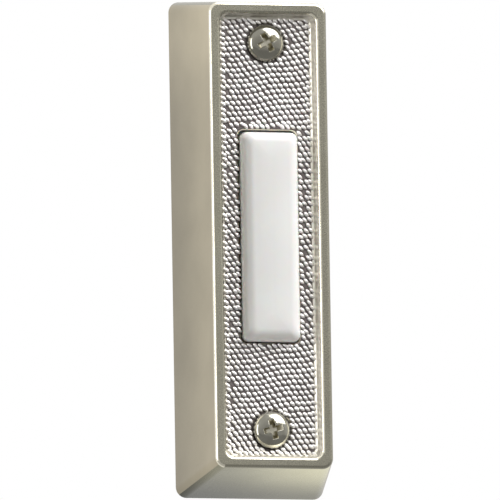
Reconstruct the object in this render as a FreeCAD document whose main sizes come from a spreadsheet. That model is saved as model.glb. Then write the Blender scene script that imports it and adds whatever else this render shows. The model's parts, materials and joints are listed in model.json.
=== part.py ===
"""Lit doorbell push button with a tapered die-cast case, modelled as separate pieces.

Frame: +X to the right seen from the front, +Z up, the wall is the plane Y = 0 and the front faces -Y.
Origin: centre of the case's back face. "Depth" means distance from the wall towards the front.
"""
import FreeCAD, Part
import math
import os
import re

import Sketcher
from FreeCAD import Rotation, Vector

document = FreeCAD.newDocument("doorbell_push")
sheet = document.addObject("Spreadsheet::Sheet", "Sizes")

# How near in millimetres an edge has to lie to the plane that it is looked for in
tolerance = 1e-4

# Driving dimensions in millimetres, angles in degrees
sizes = {
    # case
    "case_height": 69.85,
    "case_width": 21.08,
    "case_depth": 15.88,
    "side_taper": 2.22,
    "end_taper": 2.32,
    "case_corner": 1.5,
    "front_edge_round": 0.5,
    "case_wall": 1.35,
    "front_wall": 1.6,
    "cavity_corner": 0.8,
    # rim and recessed field
    "rim_width": 1.35,
    "field_depth": 1.9,
    "field_draft": 0.65,
    "field_corner": 0.9,
    # button and its opening
    "button_share": 0.37951,
    "button_height": 29.3,
    "button_corner": 1.6,
    "button_edge_round": 1.6,
    "button_rise": 2.4,
    "button_gap": 0.27,
    "opening_corner": 0.9,
    "opening_lip": 0.3,
    "button_wall": 1.25,
    "button_roof": 1.4,
    "flange_width": 1.35,
    "flange_end": 0.6,
    "flange_thick": 1.0,
    "flange_gap": 0.2,
    "hollow_corner": 0.6,
    "rib_thick": 0.8,
    "rib_height": 1.5,
    "rib_gap": 0.25,
    "button_travel": 1.0,
    # mounting screws and their seats
    "screw_inset": 7.775,
    "screw_head": 5.3,
    "screw_head_height": 1.8,
    "screw_head_edge": 0.55,
    "screw_length": 25.4,
    "screw_neck": 2.3,
    "screw_thread": 2.84,
    "screw_thread_length": 17.0,
    "screw_point": 3.2,
    "screw_hole": 3.3,
    "spot_gap": 0.25,
    "spot_depth": 0.25,
    "screw_boss": 6.0,
    "screw_boss_length": 3.0,
    "cross_length": 2.9,
    "cross_width": 0.8,
    "cross_depth": 1.25,
    "upper_turn": 28.0,
    "lower_turn": 14.0,
    # switch base
    "base_setback": 10.88,
    "base_thick": 1.8,
    "base_end_gap": 2.6,
    "base_side_gap": 0.35,
    "base_corner": 1.0,
    "lamp_rest_offset": 1.1,
    "lamp_rest_width": 1.0,
    "lamp_rest_length": 3.0,
    # screws that hold the base to the case
    "base_screw_inset": 1.5,
    "base_screw_head": 3.0,
    "base_screw_head_height": 1.2,
    "base_screw_thread": 1.6,
    "base_screw_length": 6.0,
    "base_screw_hole": 2.2,
    "base_boss": 3.2,
    "thread_gap": 0.05,
    "base_screw_pilot_spare": 0.6,
    "base_cross_length": 2.0,
    "base_cross_width": 0.5,
    "base_cross_depth": 0.8,
    # terminals
    "terminal_inset": 4.8,
    "terminal_thread": 3.4,
    "terminal_screw_end": 0.6,
    "terminal_head": 5.4,
    "terminal_head_height": 1.5,
    "slot_width": 0.8,
    "slot_depth": 0.7,
    "terminal_gap": 0.15,
    "washer_side": 6.2,
    "washer_thick": 0.6,
    "nut_side": 5.0,
    "nut_thick": 1.6,
    # contacts
    "strip_thick": 0.4,
    "pad_width": 6.8,
    "pad_height": 5.4,
    "arm_offset": 4.4,
    "arm_width": 2.4,
    "leaf_bend_start": 9.4,
    "leaf_bend_end": 1.8,
    "leaf_overlap": 1.8,
    "contact_diameter": 1.6,
    "strip_contact_height": 0.45,
    "leaf_contact_height": 0.3,
    "contact_follow": 0.05,
    "rivet_offset": 11.5,
    "rivet_shank": 1.7,
    "rivet_head": 2.8,
    "rivet_head_thick": 0.35,
    "plunger_width": 1.4,
    "plunger_length": 3.0,
    "plunger_gap": 0.15,
    # return springs
    "spring_share": 0.53,
    "spring_diameter": 3.6,
    "spring_wire": 0.35,
    "spring_turns": 4.0,
    "runs_per_turn": 12.0,
    "spring_end_gap": 0.05,
    "spigot_side": 1.8,
    "spigot_height": 1.2,
    # lamp, its leads and resistor
    "lamp_diameter": 3.0,
    "lamp_flange": 3.8,
    "lamp_flange_thick": 0.8,
    "lamp_body": 3.0,
    "lamp_stand": 1.0,
    "lead_width": 0.5,
    "leg_spacing": 1.4,
    "lead_side": 4.6,
    "lead_pad_overlap": 0.6,
    "resistor_diameter": 1.8,
    "resistor_edge": 0.25,
    "resistor_length": 4.0,
    "resistor_share": 0.5,
    "bay_gap": 0.15,
}


def fill_sheet():
    for row, (name, size) in enumerate(sizes.items(), start=1):
        sheet.set(f"A{row}", name)
        sheet.set(f"B{row}", str(size))
        sheet.setAlias(f"B{row}", name)
    document.recompute()


def linked(text):
    """The text as an expression, with every size in it pointed at its cell."""
    return re.sub(r"[a-z][a-z_]*", lambda word: f"Sizes.{word[0]}" if word[0] in sizes else word[0], text)


def value(text):
    return float(sheet.evalExpression(linked(text)))


def bind(thing, name, text):
    thing.setExpression(name, linked(text))


fill_sheet()

# Places along the height, from each end of the case inwards
screw_offset = "(case_height / 2 - screw_inset)"
base_half = f"({screw_offset} - base_end_gap)"
base_screw_offset = f"({base_half} - base_screw_inset)"
terminal_offset = f"({base_screw_offset} - terminal_inset)"
spring_offset = "(button_height / 2 * spring_share)"

# Depths and sizes that several pieces share
button_width = "(case_width * button_share)"
floor_depth = "(case_depth - field_depth)"
spot_floor = f"({floor_depth} - spot_depth)"
inner_depth = f"({floor_depth} - front_wall)"
front_width = "(case_width - 2 * side_taper)"
front_height = "(case_height - 2 * end_taper)"
mouth_width = f"({front_width} - 2 * rim_width)"
mouth_height = f"({front_height} - 2 * rim_width)"
button_front = f"({floor_depth} + button_rise)"
roof_depth = f"({button_front} - button_roof)"
flange_front = f"({inner_depth} - flange_gap)"
flange_back = f"({flange_front} - flange_thick)"
base_back = "(case_depth - base_setback)"
base_front = f"({base_back} + base_thick)"
strip_front = f"({base_front} + strip_thick)"
contact_front = f"({strip_front} + strip_contact_height)"
contact_gap = "(button_travel - plunger_gap - contact_follow)"
leaf_tip = f"({contact_front} + {contact_gap} + leaf_contact_height + strip_thick)"
washer_back = f"({base_back} - washer_thick)"
terminal_hole = "(terminal_thread + 2 * terminal_gap)"
rivet_hole = "(rivet_shank + 2 * thread_gap)"
arm_left = "(-arm_offset - arm_width / 2)"
arm_right = "(-arm_offset + arm_width / 2)"
pad_near = f"({terminal_offset} - pad_height / 2)"
pad_far = f"({terminal_offset} + pad_height / 2)"
leads_depth = f"({strip_front} + lead_width / 2)"
leg_offset = "(leg_spacing / 2)"
solder_offset = f"({pad_near} + lead_width)"
resistor_centre = f"(({leg_offset} + {solder_offset}) * resistor_share)"


def width_at(depth):
    """Outer width of the case at a depth, by its taper."""
    return f"(case_width - 2 * side_taper * {depth} / case_depth)"


def height_at(depth):
    return f"(case_height - 2 * end_taper * {depth} / case_depth)"


# Drawing helpers
def new_body(label):
    body = document.addObject("PartDesign::Body", label)
    body.Label = label
    return body


def new_sketch(body, name, role="XZ_Plane", offset="0"):
    """An empty sketch on one of the body's own planes; on XZ_Plane its normal points to the front."""
    sketch = body.newObject("Sketcher::SketchObject", name)
    plane = next(item for item in body.Origin.OriginFeatures if item.Role == role)
    sketch.AttachmentSupport = (plane, [""])
    sketch.MapMode = "FlatFace"
    bind(sketch, "AttachmentOffset.Base.z", offset)
    return sketch


def fix(sketch, kind, *where, size):
    """Add a driving constraint whose datum follows the sheet."""
    index = sketch.addConstraint(Sketcher.Constraint(kind, *where, value(size)))
    bind(sketch, f"Constraints[{index}]", size)


def rounded_rectangle(sketch, width, height, radius):
    """A centred rectangle with tangent corner arcs."""
    x, y, r = value(width) / 2, value(height) / 2, value(radius)
    corners = [(x - r, -y + r, 270), (x - r, y - r, 0), (-x + r, y - r, 90), (-x + r, -y + r, 180)]
    first = sketch.GeometryCount
    ends = []
    for cx, cy, start in corners:
        circle = Part.Circle(Vector(cx, cy, 0), Vector(0, 0, 1), r)
        arc = Part.ArcOfCircle(circle, math.radians(start), math.radians(start + 90))
        sketch.addGeometry(arc, False)
        ends.append((arc.StartPoint, arc.EndPoint))
    for index in range(4):
        line = Part.LineSegment(ends[index][1], ends[(index + 1) % 4][0])
        sketch.addGeometry(line, False)
    for index in range(4):
        arc, line = first + index, first + 4 + index
        sketch.addConstraint(Sketcher.Constraint("Tangent", arc, 2, line, 1))
        sketch.addConstraint(Sketcher.Constraint("Tangent", line, 2, first + (index + 1) % 4, 1))
    for index, direction in enumerate(("Vertical", "Horizontal", "Vertical", "Horizontal")):
        sketch.addConstraint(Sketcher.Constraint(direction, first + 4 + index))
    for index in range(1, 4):
        sketch.addConstraint(Sketcher.Constraint("Equal", first, first + index))
    sketch.addConstraint(Sketcher.Constraint("Symmetric", first, 3, first + 2, 3, -1, 1))
    fix(sketch, "Radius", first, size=radius)
    fix(sketch, "DistanceX", first + 2, 3, first, 3, size=f"({width}) - 2 * ({radius})")
    fix(sketch, "DistanceY", first, 3, first + 1, 3, size=f"({height}) - 2 * ({radius})")


def polygon(sketch, points):
    """A closed outline through points given as expressions, anticlockwise.

    A third entry is the radius of a convex arc from that point to the next.
    """
    places = [Vector(value(point[0]), value(point[1]), 0) for point in points]
    count, first = len(points), sketch.GeometryCount
    for index, point in enumerate(points):
        start, end = places[index], places[(index + 1) % count]
        if len(point) == 3:
            radius, chord = value(point[2]), end - start
            middle = (start + end) / 2
            left = Vector(-chord.y, chord.x, 0).normalize()
            rise = math.sqrt(max(radius**2 - (chord.Length / 2) ** 2, 0.0))
            centre = middle + left * rise
            top = centre - left * radius
            sketch.addGeometry(Part.Arc(start, top, end), False)
            fix(sketch, "Radius", first + index, size=point[2])
        else:
            sketch.addGeometry(Part.LineSegment(start, end), False)
    for index in range(count):
        following = first + (index + 1) % count
        sketch.addConstraint(Sketcher.Constraint("Coincident", first + index, 2, following, 1))
    for index, point in enumerate(points):
        fix(sketch, "DistanceX", -1, 1, first + index, 1, size=point[0])
        fix(sketch, "DistanceY", -1, 1, first + index, 1, size=point[1])


def circle(sketch, across, up, diameter):
    index = sketch.addGeometry(
        Part.Circle(Vector(value(across), value(up), 0), Vector(0, 0, 1), value(diameter) / 2), False
    )
    fix(sketch, "DistanceX", -1, 1, index, 3, size=across)
    fix(sketch, "DistanceY", -1, 1, index, 3, size=up)
    fix(sketch, "Diameter", index, size=diameter)


def rectangle(sketch, left, right, bottom, top):
    polygon(sketch, [(left, bottom), (right, bottom), (right, top), (left, top)])


def pad(body, sketch, length, backwards=False):
    feature = body.newObject("PartDesign::Pad", f"{sketch.Name}_pad")
    feature.Profile = sketch
    feature.Reversed = backwards
    bind(feature, "Length", length)


def pocket(body, sketch, length, forwards=False):
    """Cut from the sketch towards the wall, or towards the front with forwards set."""
    document.recompute()
    before = body.Shape.Volume
    feature = body.newObject("PartDesign::Pocket", f"{sketch.Name}_pocket")
    feature.Profile = sketch
    feature.Reversed = forwards
    bind(feature, "Length", length)
    document.recompute()
    if not body.Shape.Volume < before:
        raise ValueError(f"{feature.Name} cuts nothing")


def tapered_block(body, kind, name, at_back, at_front, back, front):
    """A block between two depths with flat sloping sides; at_back and at_front are (width, height)."""
    feature = body.newObject(kind, name)
    for low, high, size in (
        ("X2min", "X2max", at_back[0]), ("Z2min", "Z2max", at_back[1]),
        ("Xmin", "Xmax", at_front[0]), ("Zmin", "Zmax", at_front[1]),
    ):
        bind(feature, low, f"-({size}) / 2")
        bind(feature, high, f"({size}) / 2")
    bind(feature, "Ymin", f"-{front}")
    bind(feature, "Ymax", f"-{back}")
    return feature


def edge_names(shape, wanted):
    return [f"Edge{index}" for index, edge in enumerate(shape.Edges, start=1) if wanted(edge)]


def edge_feature(body, kind, name, size, wanted):
    """Round or bevel the edges of the body's present shape that the test picks."""
    document.recompute()
    edges = edge_names(body.Shape, wanted)
    if not edges:
        raise ValueError(f"{name} finds no edge")
    base = body.Tip
    feature = body.newObject(kind, name)
    feature.Base = (base, edges)
    bind(feature, "Radius" if kind == "PartDesign::Fillet" else "Size", size)


def fillet(body, name, radius, wanted):
    edge_feature(body, "PartDesign::Fillet", name, radius, wanted)


def in_plane(edge, depth):
    """True if the edge lies in the plane at that depth."""
    box = edge.BoundBox
    return abs(box.YMin + depth) < tolerance and abs(box.YMax + depth) < tolerance


def runs_between(edge, back, front):
    """True if the edge runs from one depth to the other."""
    box = edge.BoundBox
    return abs(box.YMax + back) < tolerance and abs(box.YMin + front) < tolerance


def turned(label, profile, role="XY_Plane"):
    """A body of revolution; the profile's points are (radius, distance along the sketch's vertical)."""
    body = new_body(label)
    sketch = new_sketch(body, f"{label}_profile", role)
    polygon(sketch, profile)
    feature = body.newObject("PartDesign::Revolution", f"{label}_turning")
    feature.Profile = sketch
    feature.ReferenceAxis = (sketch, ["V_Axis"])
    feature.Angle = 360
    return body


def place(body, depth, up="0", across="0", turn="0"):
    bind(body, "Placement.Base.x", across)
    bind(body, "Placement.Base.y", f"-{depth}")
    bind(body, "Placement.Base.z", up)
    if turn != "0":
        body.Placement.Rotation = Rotation(Vector(0, 1, 0), value(turn))
        bind(body, "Placement.Rotation.Angle", turn)


# The case: one die casting
def make_cover():
    body = new_body("cover")
    back, depth, floor, inner = 0.0, value("case_depth"), value(floor_depth), value(inner_depth)
    tapered_block(
        body, "PartDesign::AdditiveWedge", "case_block",
        ("case_width", "case_height"), (front_width, front_height), "0", "case_depth",
    )
    fillet(body, "case_corners", "case_corner", lambda edge: runs_between(edge, back, depth))
    fillet(body, "front_edge", "front_edge_round", lambda edge: in_plane(edge, depth))

    tapered_block(
        body, "PartDesign::SubtractiveWedge", "field_recess",
        (f"{mouth_width} - 2 * field_draft", f"{mouth_height} - 2 * field_draft"),
        (mouth_width, mouth_height), floor_depth, "case_depth",
    )
    fillet(body, "field_corners", "field_corner", lambda edge: runs_between(edge, floor, depth))

    tapered_block(
        body, "PartDesign::SubtractiveWedge", "cavity",
        ("case_width - 2 * case_wall", "case_height - 2 * case_wall"),
        (f"{width_at(inner_depth)} - 2 * case_wall", f"{height_at(inner_depth)} - 2 * case_wall"),
        "0", inner_depth,
    )
    fillet(body, "cavity_corners", "cavity_corner", lambda edge: runs_between(edge, back, inner))

    screw_bosses = new_sketch(body, "screw_bosses", offset=inner_depth)
    base_bosses = new_sketch(body, "base_bosses", offset=inner_depth)
    for side in ("", "-"):
        circle(screw_bosses, "0", f"{side}{screw_offset}", "screw_boss")
        circle(base_bosses, "0", f"{side}{base_screw_offset}", "base_boss")
    pad(body, screw_bosses, "screw_boss_length", backwards=True)
    pad(body, base_bosses, f"{inner_depth} - {base_front}", backwards=True)

    opening = new_sketch(body, "button_opening", offset=floor_depth)
    rounded_rectangle(
        opening,
        f"{button_width} + 2 * button_gap",
        "button_height + 2 * button_gap",
        "opening_corner",
    )
    pocket(body, opening, "front_wall")
    lip_half = value(f"{button_width} / 2 + button_gap") + tolerance
    edge_feature(
        body, "PartDesign::Chamfer", "opening_edge", "opening_lip",
        lambda edge: in_plane(edge, floor)
        and edge.BoundBox.XMax < lip_half
        and edge.BoundBox.XMin > -lip_half,
    )

    spots = new_sketch(body, "spot_faces", offset=floor_depth)
    holes = new_sketch(body, "screw_holes", offset=floor_depth)
    pilots = new_sketch(body, "base_screw_pilots", offset=base_front)
    for side in ("", "-"):
        circle(spots, "0", f"{side}{screw_offset}", "screw_head + 2 * spot_gap")
        circle(holes, "0", f"{side}{screw_offset}", "screw_hole")
        circle(pilots, "0", f"{side}{base_screw_offset}", "base_screw_thread + 2 * thread_gap")
    pocket(body, spots, "spot_depth")
    pocket(body, holes, "front_wall + screw_boss_length")
    pocket(body, pilots, "base_screw_length - base_thick + base_screw_pilot_spare", forwards=True)
    return body


# The moulded bar button, hollow behind, with its flange, spring pockets and plunger
def make_button():
    body = new_body("button")
    cap = new_sketch(body, "cap", offset=flange_back)
    rounded_rectangle(cap, button_width, "button_height", "button_corner")
    pad(body, cap, f"{button_front} - {flange_back}")
    front = value(button_front)
    fillet(body, "cap_edge", "button_edge_round", lambda edge: in_plane(edge, front))

    flange = new_sketch(body, "flange", offset=flange_back)
    rounded_rectangle(
        flange, f"{button_width} + 2 * flange_width", "button_height + 2 * flange_end", "button_corner"
    )
    pad(body, flange, "flange_thick")

    hollow = new_sketch(body, "hollow", offset=roof_depth)
    rounded_rectangle(
        hollow, f"{button_width} - 2 * button_wall", "button_height - 2 * button_wall", "hollow_corner"
    )
    pocket(body, hollow, f"{roof_depth} - {flange_back}")

    ribs = new_sketch(body, "pocket_ribs", offset=roof_depth)
    rib_end = f"({button_width} / 2 - button_wall / 2)"
    rib_inner = f"({spring_offset} - spring_diameter / 2 - rib_gap)"
    rectangle(ribs, f"-{rib_end}", rib_end, f"{rib_inner} - rib_thick", rib_inner)
    rectangle(ribs, f"-{rib_end}", rib_end, f"-{rib_inner}", f"-{rib_inner} + rib_thick")
    pad(body, ribs, "rib_height", backwards=True)

    plunger = new_sketch(body, "plunger", offset=flange_back)
    rectangle(
        plunger,
        "-arm_offset - plunger_width / 2",
        "-arm_offset + plunger_width / 2",
        "-plunger_length / 2",
        "plunger_length / 2",
    )
    pad(body, plunger, f"{flange_back} - {leaf_tip} - plunger_gap", backwards=True)
    return body


# The insulating base, with its holes, spring spigots, lamp rest and resistor bay
def make_base():
    body = new_body("switch_base")
    plate = new_sketch(body, "base_plate", offset=base_back)
    rounded_rectangle(
        plate,
        f"{width_at(base_front)} - 2 * case_wall - 2 * base_side_gap",
        f"2 * {base_half}",
        "base_corner",
    )
    pad(body, plate, "base_thick")

    spigots = new_sketch(body, "base_spigots", offset=base_front)
    for side in ("", "-"):
        middle = f"{side}{spring_offset}"
        low, high = f"{middle} - spigot_side / 2", f"{middle} + spigot_side / 2"
        rectangle(spigots, "-spigot_side / 2", "spigot_side / 2", low, high)
    pad(body, spigots, "spigot_height")

    rest = new_sketch(body, "lamp_rest", offset=base_front)
    rectangle(
        rest,
        "-lamp_rest_offset - lamp_rest_width / 2",
        "-lamp_rest_offset + lamp_rest_width / 2",
        "-lamp_rest_length / 2",
        "lamp_rest_length / 2",
    )
    pad(body, rest, "lamp_stand")

    holes = new_sketch(body, "base_holes", offset=base_front)
    for side in ("", "-"):
        circle(holes, "0", f"{side}{terminal_offset}", terminal_hole)
        circle(holes, "0", f"{side}{base_screw_offset}", "base_screw_hole")
        circle(holes, "-arm_offset", f"{side}rivet_offset", rivet_hole)
    pocket(body, holes, "base_thick")

    bay = new_sketch(body, "resistor_bay", offset=base_front)
    bay_side, bay_end = "(resistor_diameter / 2 + bay_gap)", "(resistor_length / 2 + bay_gap)"
    rectangle(
        bay,
        f"lead_side - {bay_side}",
        f"lead_side + {bay_side}",
        f"{resistor_centre} - {bay_end}",
        f"{resistor_centre} + {bay_end}",
    )
    pocket(body, bay, f"{base_front} - {leads_depth} + {bay_side}")
    return body


# The two contacts: a flat pad under the terminal nut and an arm along the left side
def contact_blank(label, side, arm_end):
    """The flat blank of a contact; side is '' for the upper one and '-' for the lower one."""
    body = new_body(label)
    blank = new_sketch(body, f"{label}_blank", offset=base_front)
    outline = [
        (arm_left, pad_far), (arm_left, arm_end), (arm_right, arm_end),
        (arm_right, pad_near), ("pad_width / 2", pad_near), ("pad_width / 2", pad_far),
    ]
    if side:
        outline = [(across, f"-{up}") for across, up in reversed(outline)]
    polygon(blank, outline)
    pad(body, blank, "strip_thick")
    holes = new_sketch(body, f"{label}_holes", offset=strip_front)
    circle(holes, "0", f"{side}{terminal_offset}", terminal_hole)
    circle(holes, "-arm_offset", f"{side}rivet_offset", rivet_hole)
    pocket(body, holes, "strip_thick")
    return body


def make_leaf():
    """The moving contact: its arm is bent up to a flat tip under the plunger."""
    body = contact_blank("contact_leaf", "", "leaf_bend_start")
    side_view = new_sketch(body, "leaf_bend", role="YZ_Plane", offset=arm_left)
    polygon(side_view, [
        (f"-{strip_front}", "leaf_bend_start"),
        (f"-{leaf_tip}", "leaf_bend_end"),
        (f"-{leaf_tip}", "-leaf_overlap"),
        (f"-{leaf_tip} + strip_thick", "-leaf_overlap"),
        (f"-{leaf_tip} + strip_thick", "leaf_bend_end"),
        (f"-{base_front}", "leaf_bend_start"),
    ])
    pad(body, side_view, "arm_width")
    return body


def make_strip():
    return contact_blank("contact_strip", "-", "(-leaf_overlap)")


def make_contact_points():
    half = "contact_diameter / 2"
    fixed = turned("strip_contact_point", [
        ("0", "-strip_contact_height"), (half, "-strip_contact_height"), (half, "0"), ("0", "0"),
    ])
    place(fixed, strip_front, across="-arm_offset")
    moving = turned("leaf_contact_point", [
        ("0", "0"), (half, "0"), (half, "leaf_contact_height"), ("0", "leaf_contact_height"),
    ])
    place(moving, f"({leaf_tip} - strip_thick)", across="-arm_offset")


def make_rivet(label, up):
    """A rivet through a contact and the base, headed on both sides."""
    head, shank = "rivet_head / 2", "rivet_shank / 2"
    front, back = f"-{strip_front} + {base_back}", "0"
    body = turned(label, [
        ("0", f"{front} - rivet_head_thick"), (head, f"{front} - rivet_head_thick"), (head, front),
        (shank, front), (shank, back), (head, back), (head, "rivet_head_thick"), ("0", "rivet_head_thick"),
    ])
    place(body, base_back, up=up, across="-arm_offset")


# Terminals
def square_plate(label, side, hole, thick, depth, up):
    body = new_body(label)
    outline = new_sketch(body, f"{label}_outline")
    rectangle(outline, f"-{side} / 2", f"{side} / 2", f"-{side} / 2", f"{side} / 2")
    circle(outline, "0", "0", hole)
    pad(body, outline, thick)
    place(body, depth, up=up)


def make_nut(label, up):
    """The square nut on the contact's pad, which the binding screw draws against the base."""
    square_plate(label, "nut_side", "terminal_thread + 2 * thread_gap", "nut_thick", strip_front, up)


def make_washer(label, up):
    """The square washer behind the base that clamps the bell wire."""
    square_plate(label, "washer_side", terminal_hole, "washer_thick", washer_back, up)


def make_terminal_screw(label, up):
    """A slotted binding screw, driven in from behind: its head faces the wall."""
    head, thread = "terminal_head / 2", "terminal_thread / 2"
    tip = f"-({strip_front} + nut_thick + terminal_screw_end - {washer_back})"
    body = turned(label, [
        ("0", tip), (thread, tip), (thread, "0"), (head, "0"),
        (head, "terminal_head_height"), ("0", "terminal_head_height"),
    ])
    slot = new_sketch(body, f"{label}_slot", offset="-terminal_head_height")
    rectangle(slot, "-terminal_head", "terminal_head", "-slot_width / 2", "slot_width / 2")
    pocket(body, slot, "slot_depth", forwards=True)
    place(body, washer_back, up=up)


# Cross-recess screws
def cross_recess(body, label, top, length, width):
    """The outline of a cross-shaped driver recess, drawn at the height top over the piece's origin."""
    sketch = new_sketch(body, f"{label}_recess", offset=top)
    a, b = f"{width} / 2", f"{length} / 2"
    polygon(sketch, [
        (f"-{a}", f"-{b}"), (a, f"-{b}"), (a, f"-{a}"), (b, f"-{a}"), (b, a), (a, a),
        (a, b), (f"-{a}", b), (f"-{a}", a), (f"-{b}", a), (f"-{b}", f"-{a}"), (f"-{a}", f"-{a}"),
    ])
    return sketch


def make_mounting_screw(label, up, turn):
    """Pan head wood screw, its origin under the head, its point towards the wall."""
    head, neck, thread = "screw_head / 2", "screw_neck / 2", "screw_thread / 2"
    dome = "(screw_head_height - screw_head_edge)"
    start = "(screw_length - screw_thread_length)"
    body = turned(label, [
        ("0", "-screw_head_height", f"(screw_head ^ 2 / 4 + {dome} ^ 2) / (2 * {dome})"),
        (head, "-screw_head_edge"), (head, "0"), (neck, "0"), (neck, start), (thread, start),
        (thread, "screw_length - screw_point"), ("0", "screw_length"),
    ])
    recess = cross_recess(body, label, "screw_head_height", "cross_length", "cross_width")
    pocket(body, recess, "cross_depth")
    place(body, spot_floor, up=up, turn=turn)


def make_base_screw(label, up):
    """Small thread-forming screw from behind, its origin under the head."""
    head, thread = "base_screw_head / 2", "base_screw_thread / 2"
    body = turned(label, [
        ("0", "-base_screw_length"), (thread, "-base_screw_length"), (thread, "0"), (head, "0"),
        (head, "base_screw_head_height"), ("0", "base_screw_head_height"),
    ])
    recess = cross_recess(body, label, "-base_screw_head_height", "base_cross_length", "base_cross_width")
    pocket(body, recess, "base_cross_depth", forwards=True)
    place(body, base_back, up=up)


# Return springs: a coil of short straight runs of wire, so that it stays light
def make_spring(label, up):
    radius = value("(spring_diameter - spring_wire) / 2")
    reach = value(f"{roof_depth} - {base_front} - 2 * spring_end_gap - spring_wire")
    turns, half_wire = value("spring_turns"), value("spring_wire / 2")
    runs = round(turns * value("runs_per_turn"))
    path = []
    for index in range(runs + 1):
        angle = 2 * math.pi * turns * index / runs
        path.append(Vector(radius * math.cos(angle), -reach * index / runs, radius * math.sin(angle)))
    along = (path[1] - path[0]).normalize()
    outward = along.cross(Vector(0, 1, 0)).normalize()
    sideways = along.cross(outward)
    section = []
    for angle in (math.pi / 3 * corner for corner in range(7)):
        section.append(path[0] + (outward * math.cos(angle) + sideways * math.sin(angle)) * half_wire)
    wire = Part.makePolygon(path).makePipeShell([Part.makePolygon(section)], True, False, 1)
    spring = document.addObject("Part::Feature", label)
    spring.Label = label
    spring.Shape = wire
    bind(spring, "Placement.Base.y", f"-({base_front} + spring_end_gap + spring_wire / 2)")
    bind(spring, "Placement.Base.z", up)


# Lamp, leads and resistor
def make_lamp():
    """A flat-topped lamp, which lights the bar evenly."""
    lens, flange = "lamp_diameter / 2", "lamp_flange / 2"
    top = "(-lamp_flange_thick - lamp_body)"
    body = turned("lamp", [
        ("0", top), (lens, top), (lens, "-lamp_flange_thick"), (flange, "-lamp_flange_thick"),
        (flange, "0"), ("0", "0"),
    ])
    place(body, f"({base_front} + lamp_stand)")


def make_lead(label, points, leg=False):
    """A square-drawn lead in one plane over the base, through points (across, up) from the first one."""
    body = new_body(label)
    route = new_sketch(body, f"{label}_route", offset=leads_depth)
    places = [Vector(value(across), value(up), 0) for across, up in points]
    for start, end in zip(places, places[1:]):
        route.addGeometry(Part.LineSegment(start, end), False)
    last = len(places) - 2
    for index in range(last):
        route.addConstraint(Sketcher.Constraint("Coincident", index, 2, index + 1, 1))
    for index, point in enumerate(points):
        line, end = (index, 1) if index <= last else (last, 2)
        fix(route, "DistanceX", -1, 1, line, end, size=point[0])
        fix(route, "DistanceY", -1, 1, line, end, size=point[1])
    first_across, first_up = points[0]
    half = "lead_width / 2"
    if leg:
        section = new_sketch(body, f"{label}_section", role="YZ_Plane", offset=first_across)
        across, low, high = f"-{leads_depth}", f"{first_up} - {half}", f"{first_up} + {half}"
        rectangle(section, f"{across} - {half}", f"{across} + {half}", low, high)
    else:
        section = new_sketch(body, f"{label}_section", role="XY_Plane", offset=first_up)
        rectangle(
            section, f"{first_across} - {half}", f"{first_across} + {half}",
            f"-{leads_depth} - {half}", f"-{leads_depth} + {half}",
        )
    feature = body.newObject("PartDesign::AdditivePipe", f"{label}_wire")
    feature.Profile = section
    feature.Spine = (route, [""])
    feature.Transition = "Right corner"
    if leg:
        foot = new_sketch(body, f"{label}_leg", offset=leads_depth)
        low, high = f"{first_up} - {half}", f"{first_up} + {half}"
        rectangle(foot, f"{first_across} - {half}", f"{first_across} + {half}", low, high)
        pad(body, foot, f"{base_front} + lamp_stand - {leads_depth}")


def make_leads():
    make_lead("lamp_lead_upper", [
        ("0", leg_offset), ("lead_side", leg_offset),
        ("lead_side", f"{resistor_centre} - resistor_length / 2"),
    ], leg=True)
    make_lead("resistor_lead", [
        ("lead_side", f"{resistor_centre} + resistor_length / 2"), ("lead_side", solder_offset),
        ("pad_width / 2 - lead_pad_overlap", solder_offset),
    ])
    make_lead("lamp_lead_lower", [
        ("0", f"-{leg_offset}"), ("lead_side", f"-{leg_offset}"), ("lead_side", f"-{solder_offset}"),
        ("pad_width / 2 - lead_pad_overlap", f"-{solder_offset}"),
    ], leg=True)


def make_resistor():
    """A small barrel resistor in line between the lamp's lead and its own lead to the upper terminal."""
    half, end = "resistor_diameter / 2", "resistor_length / 2"
    body = turned("lamp_resistor", [
        ("0", f"-{end}"), (f"{half} - resistor_edge", f"-{end}"), (half, f"-{end} + resistor_edge"),
        (half, f"{end} - resistor_edge"), (f"{half} - resistor_edge", end), ("0", end),
    ], role="XZ_Plane")
    place(body, leads_depth, up=resistor_centre, across="lead_side")


def make_all():
    make_cover()
    make_button()
    make_base()
    make_leaf()
    make_strip()
    make_contact_points()
    for name, side in (("upper", ""), ("lower", "-")):
        make_mounting_screw(f"mounting_screw_{name}", f"{side}{screw_offset}", f"{name}_turn")
        make_base_screw(f"base_screw_{name}", f"{side}{base_screw_offset}")
        make_nut(f"terminal_nut_{name}", f"{side}{terminal_offset}")
        make_washer(f"terminal_washer_{name}", f"{side}{terminal_offset}")
        make_terminal_screw(f"terminal_screw_{name}", f"{side}{terminal_offset}")
        make_spring(f"return_spring_{name}", f"{side}{spring_offset}")
    make_rivet("leaf_rivet", "rivet_offset")
    make_rivet("strip_rivet", "-rivet_offset")
    make_lamp()
    make_leads()
    make_resistor()


piece_names = [
    "cover", "button", "switch_base", "contact_leaf", "contact_strip", "leaf_contact_point",
    "strip_contact_point", "leaf_rivet", "strip_rivet", "lamp", "lamp_lead_upper", "lamp_lead_lower",
    "lamp_resistor", "resistor_lead",
] + [
    f"{piece}_{name}"
    for piece in (
        "mounting_screw", "base_screw", "terminal_nut", "terminal_washer", "terminal_screw",
        "return_spring",
    )
    for name in ("upper", "lower")
]


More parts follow.
